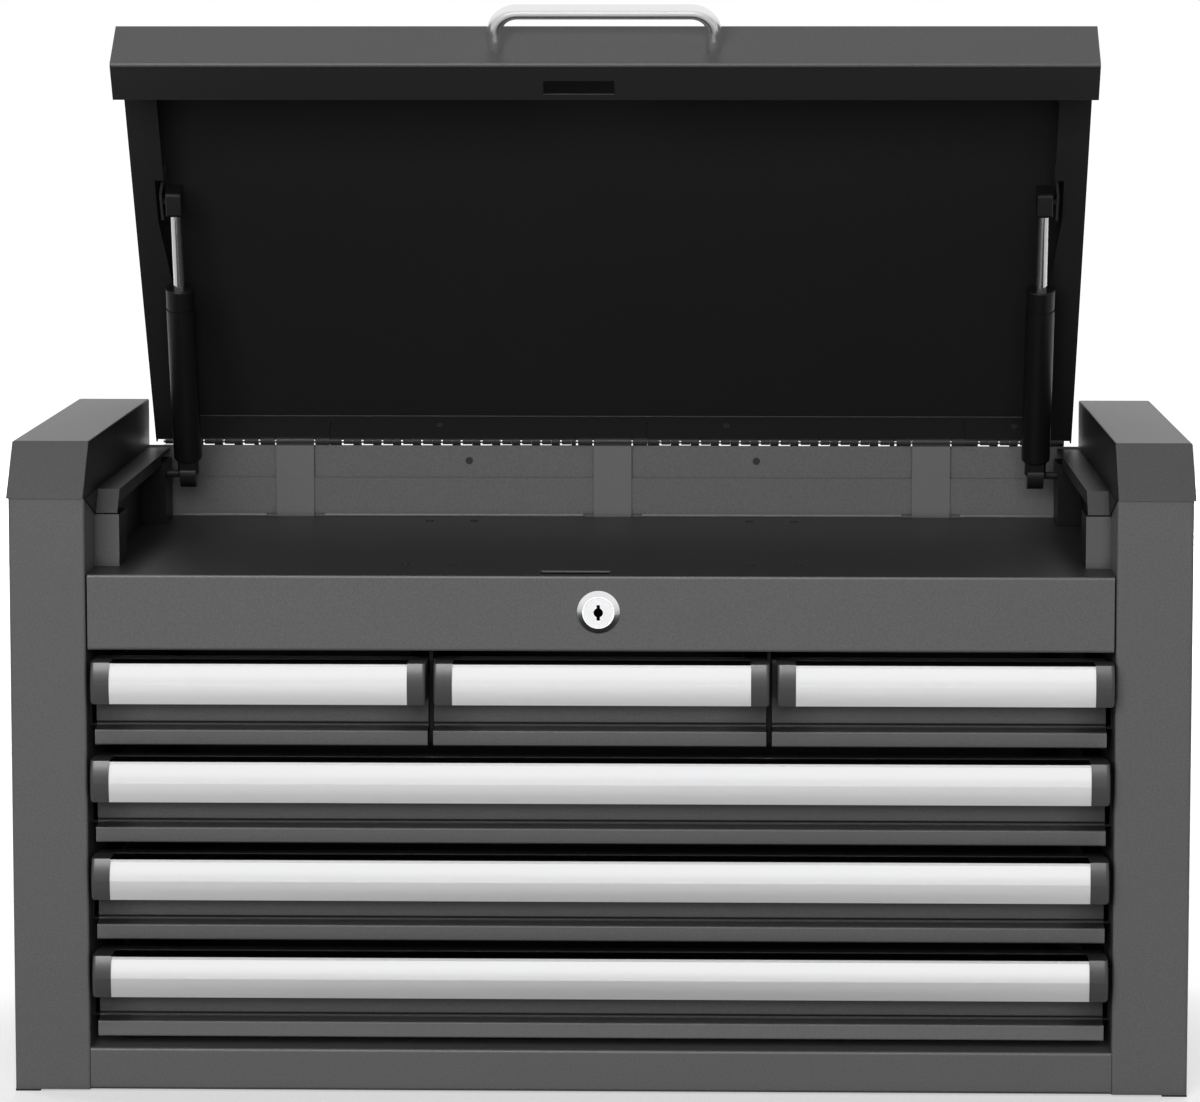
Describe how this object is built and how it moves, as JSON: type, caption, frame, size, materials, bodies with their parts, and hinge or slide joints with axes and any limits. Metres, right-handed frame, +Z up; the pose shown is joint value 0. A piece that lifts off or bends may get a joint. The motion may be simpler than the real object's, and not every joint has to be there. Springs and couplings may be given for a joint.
{
  "type": "tool chest",
  "caption": "Top tool chest with a lid on gas struts over a shallow tray, a lock, and three small drawers over three full-width ones, all with bright pulls.",
  "frame": {"origin": "on the ground, under the middle of the box round the chest as stored, with its lid open", "axes": "+X to the right as seen from the front, +Y from the drawer fronts to the back panel, +Z up"},
  "size_m": [0.66, 0.3512, 0.6077],
  "materials": {
    "powder_coat": "dark grey powder coat, satin, fine texture",
    "dark_steel": "black coated steel hinge and brackets",
    "plain_steel": "zinc plated steel",
    "rivet_steel": "coated over with the panel",
    "handle_steel": "satin steel rod",
    "lock_chrome": "bright chrome plate",
    "tube_black": "gloss black paint",
    "rod_chrome": "polished hard chrome",
    "fitting_black": "black moulded end fittings",
    "pull_aluminium": "bright satin anodised",
    "pull_end_plastic": "dark grey satin plastic",
    "foot_rubber": "black, matte",
    "runner_black": "black phosphated steel"
  },
  "bodies": {
    "cabinet": {"side_panel_left": "powder_coat", "side_panel_right": "powder_coat", "side_cap_left": "powder_coat", "side_cap_right": "powder_coat", "lid_rest_rail_left": "powder_coat", "lid_rest_rail_right": "powder_coat", "tray_side_trim_left": "powder_coat", "tray_side_trim_right": "powder_coat", "back_panel": "powder_coat", "bottom_panel": "powder_coat", "top_tray": "powder_coat", "drawer_dividers": "powder_coat", "runner_channels": "runner_black", "base_pads": "foot_rubber", "lock_barrel": "lock_chrome", "strut_studs": "dark_steel", "hinge_leaf_cabinet": "dark_steel", "hinge_pin": "plain_steel", "hinge_straps": "powder_coat", "tray_rivets": "rivet_steel"},
    "lid": {"lid_panel": "powder_coat", "lid_handle": "handle_steel", "handle_screws": "plain_steel", "hinge_leaf_lid": "dark_steel", "lid_rivets": "rivet_steel", "lid_strut_brackets": "dark_steel"},
    "lock": {"lock_plug": "lock_chrome", "lock_hook": "plain_steel"},
    "strut_left_barrel": {"strut_tube_left": "tube_black", "strut_foot_left": "fitting_black"},
    "strut_left_rod": {"strut_rod_left": "rod_chrome", "strut_fork_left": "fitting_black"},
    "strut_right_barrel": {"strut_tube_right": "tube_black", "strut_foot_right": "fitting_black"},
    "strut_right_rod": {"strut_rod_right": "rod_chrome", "strut_fork_right": "fitting_black"},
    "drawer_top_left": {"drawer_top_left_box": "powder_coat", "drawer_top_left_pull": "pull_aluminium", "drawer_top_left_pull_ends": "pull_end_plastic", "drawer_top_left_runners": "runner_black"},
    "drawer_top_middle": {"drawer_top_middle_box": "powder_coat", "drawer_top_middle_pull": "pull_aluminium", "drawer_top_middle_pull_ends": "pull_end_plastic", "drawer_top_middle_runners": "runner_black"},
    "drawer_top_right": {"drawer_top_right_box": "powder_coat", "drawer_top_right_pull": "pull_aluminium", "drawer_top_right_pull_ends": "pull_end_plastic", "drawer_top_right_runners": "runner_black"},
    "drawer_second_row": {"drawer_second_row_box": "powder_coat", "drawer_second_row_pull": "pull_aluminium", "drawer_second_row_pull_ends": "pull_end_plastic", "drawer_second_row_runners": "runner_black"},
    "drawer_third_row": {"drawer_third_row_box": "powder_coat", "drawer_third_row_pull": "pull_aluminium", "drawer_third_row_pull_ends": "pull_end_plastic", "drawer_third_row_runners": "runner_black"},
    "drawer_fourth_row": {"drawer_fourth_row_box": "powder_coat", "drawer_fourth_row_pull": "pull_aluminium", "drawer_fourth_row_pull_ends": "pull_end_plastic", "drawer_fourth_row_runners": "runner_black"}
  },
  "joints": [
    {"name": "lid_hinge", "type": "hinge", "parent": "cabinet", "child": "lid", "pos_m": [0, 0.15405, 0.339], "axis": [-1, 0, 0], "range_deg": [-55.8, 0]},
    {"name": "lock_turn", "type": "hinge", "parent": "cabinet", "child": "lock", "pos_m": [-0.0006, -0.16095, 0.2724], "axis": [0, 1, 0], "range_deg": [0, 90]},
    {"name": "strut_left_tilt", "type": "hinge", "parent": "cabinet", "child": "strut_left_barrel", "pos_m": [-0.2573, 0.11105, 0.3228], "axis": [-1, 0, 0], "range_deg": [-63.8, 0]},
    {"name": "strut_left_stroke", "type": "slide", "parent": "strut_left_barrel", "child": "strut_left_rod", "axis": [0, -0.344, 0.939], "range_m": [-0.03682, 0]},
    {"name": "strut_right_tilt", "type": "hinge", "parent": "cabinet", "child": "strut_right_barrel", "pos_m": [0.2573, 0.11105, 0.3228], "axis": [-1, 0, 0], "range_deg": [-63.8, 0]},
    {"name": "strut_right_stroke", "type": "slide", "parent": "strut_right_barrel", "child": "strut_right_rod", "axis": [0, -0.344, 0.939], "range_m": [-0.03682, 0]},
    {"name": "drawer_top_left_slide", "type": "slide", "parent": "cabinet", "child": "drawer_top_left", "axis": [0, -1, 0], "range_m": [0, 0.22]},
    {"name": "drawer_top_middle_slide", "type": "slide", "parent": "cabinet", "child": "drawer_top_middle", "axis": [0, -1, 0], "range_m": [0, 0.22]},
    {"name": "drawer_top_right_slide", "type": "slide", "parent": "cabinet", "child": "drawer_top_right", "axis": [0, -1, 0], "range_m": [0, 0.22]},
    {"name": "drawer_second_row_slide", "type": "slide", "parent": "cabinet", "child": "drawer_second_row", "axis": [0, -1, 0], "range_m": [0, 0.22]},
    {"name": "drawer_third_row_slide", "type": "slide", "parent": "cabinet", "child": "drawer_third_row", "axis": [0, -1, 0], "range_m": [0, 0.22]},
    {"name": "drawer_fourth_row_slide", "type": "slide", "parent": "cabinet", "child": "drawer_fourth_row", "axis": [0, -1, 0], "range_m": [0, 0.22]}
  ],
  "couplings": [
    {"joint": "strut_left_tilt", "follows": "lid_hinge", "ratio": 1.1432},
    {"joint": "strut_left_stroke", "follows": "lid_hinge", "m_per_rad": 0.037793},
    {"joint": "strut_right_tilt", "follows": "lid_hinge", "ratio": 1.1432},
    {"joint": "strut_right_stroke", "follows": "lid_hinge", "m_per_rad": 0.037793}
  ]
}
